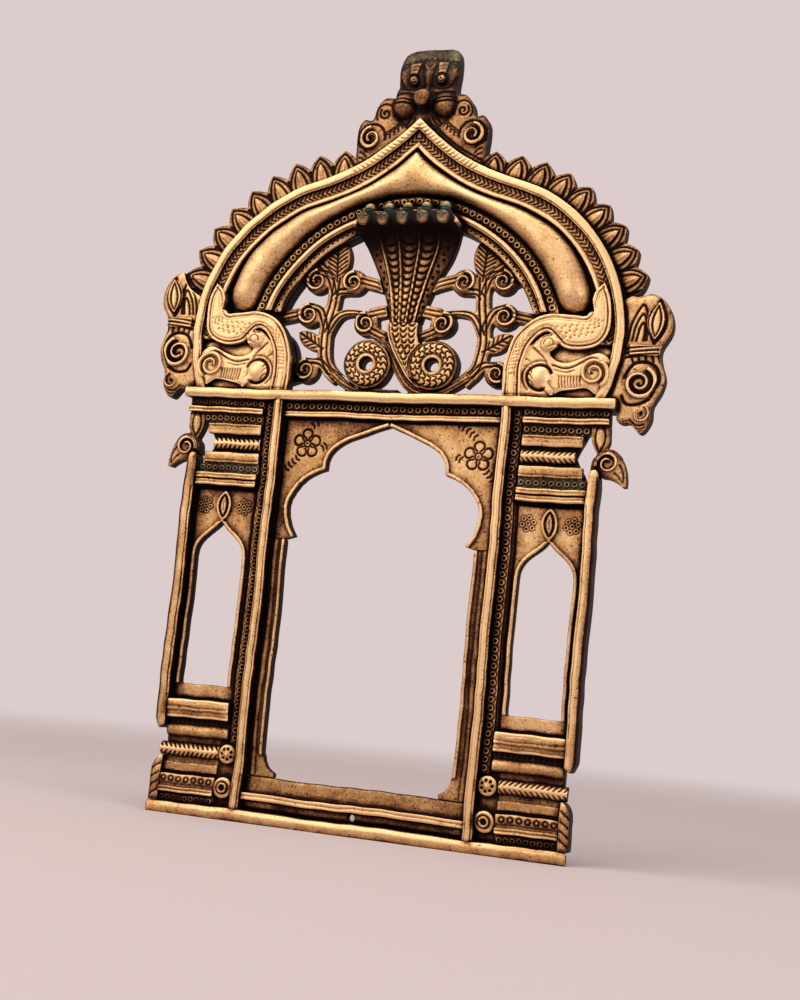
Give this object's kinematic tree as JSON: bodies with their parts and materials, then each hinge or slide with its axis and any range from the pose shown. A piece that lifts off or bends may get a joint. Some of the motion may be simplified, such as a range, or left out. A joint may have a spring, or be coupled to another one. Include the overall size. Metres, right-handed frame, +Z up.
{
  "type": "prabhavali shrine arch",
  "caption": "Free-standing cast brass shrine arch with a cusped doorway, side niches, a pierced tympanum with a hooded serpent among vines, and a lion mask at the apex.",
  "frame": {"origin": "middle of the flat underside of the base rail", "axes": "+Z up, the front faces -Y, +X to the viewer's right"},
  "size_m": [0.1598, 0.017, 0.2358],
  "materials": {
    "polished_brass": "worn bright on high faces, dark in recesses",
    "patinated_brass": "brown patina with rubbed highlights",
    "verdigris_brass": "brown patina with grey-green verdigris"
  },
  "bodies": {
    "root": {"base_rail": "polished_brass", "sill_panel": "patinated_brass", "sill_bar": "polished_brass", "left_jamb": "patinated_brass", "right_jamb": "patinated_brass", "cusped_arch": "patinated_brass", "cusp_rim": "polished_brass", "lintel_fillet": "polished_brass", "centre_bead_strip": "patinated_brass", "lintel": "polished_brass", "left_inner_post": "polished_brass", "right_inner_post": "polished_brass", "left_outer_post": "polished_brass", "right_outer_post": "polished_brass", "left_bead_strip": "patinated_brass", "right_bead_strip": "patinated_brass", "left_niche_panel": "patinated_brass", "right_niche_panel": "patinated_brass", "left_niche_rim": "polished_brass", "right_niche_rim": "polished_brass", "left_plinth": "patinated_brass", "right_plinth": "patinated_brass", "left_plinth_rope": "polished_brass", "right_plinth_rope": "polished_brass", "left_plinth_bosses": "patinated_brass", "right_plinth_bosses": "patinated_brass", "left_plinth_leaf": "patinated_brass", "right_plinth_leaf": "patinated_brass", "left_capital": "patinated_brass", "right_capital": "patinated_brass", "left_capital_rope": "polished_brass", "right_capital_rope": "polished_brass", "left_drop_leaf": "patinated_brass", "right_drop_leaf": "patinated_brass", "left_parrot_bracket": "patinated_brass", "right_parrot_bracket": "patinated_brass", "arch_plate": "patinated_brass", "arch_outer_rim": "polished_brass", "arch_chevron_band": "patinated_brass", "arch_ridge": "polished_brass", "arch_roll": "polished_brass", "arch_bead_band": "patinated_brass", "arch_inner_rim": "polished_brass", "left_makara": "polished_brass", "right_makara": "polished_brass", "vine_runner": "patinated_brass", "left_vine": "polished_brass", "right_vine": "polished_brass", "naga_coils": "polished_brass", "naga_hood": "patinated_brass", "naga_heads": "verdigris_brass", "hood_knobs": "verdigris_brass", "left_petals": "patinated_brass", "right_petals": "patinated_brass", "left_corner_scroll": "polished_brass", "right_corner_scroll": "polished_brass", "left_apex_scroll": "patinated_brass", "right_apex_scroll": "patinated_brass", "lion_mask": "verdigris_brass", "mask_ball": "polished_brass"}
  },
  "joints": []
}
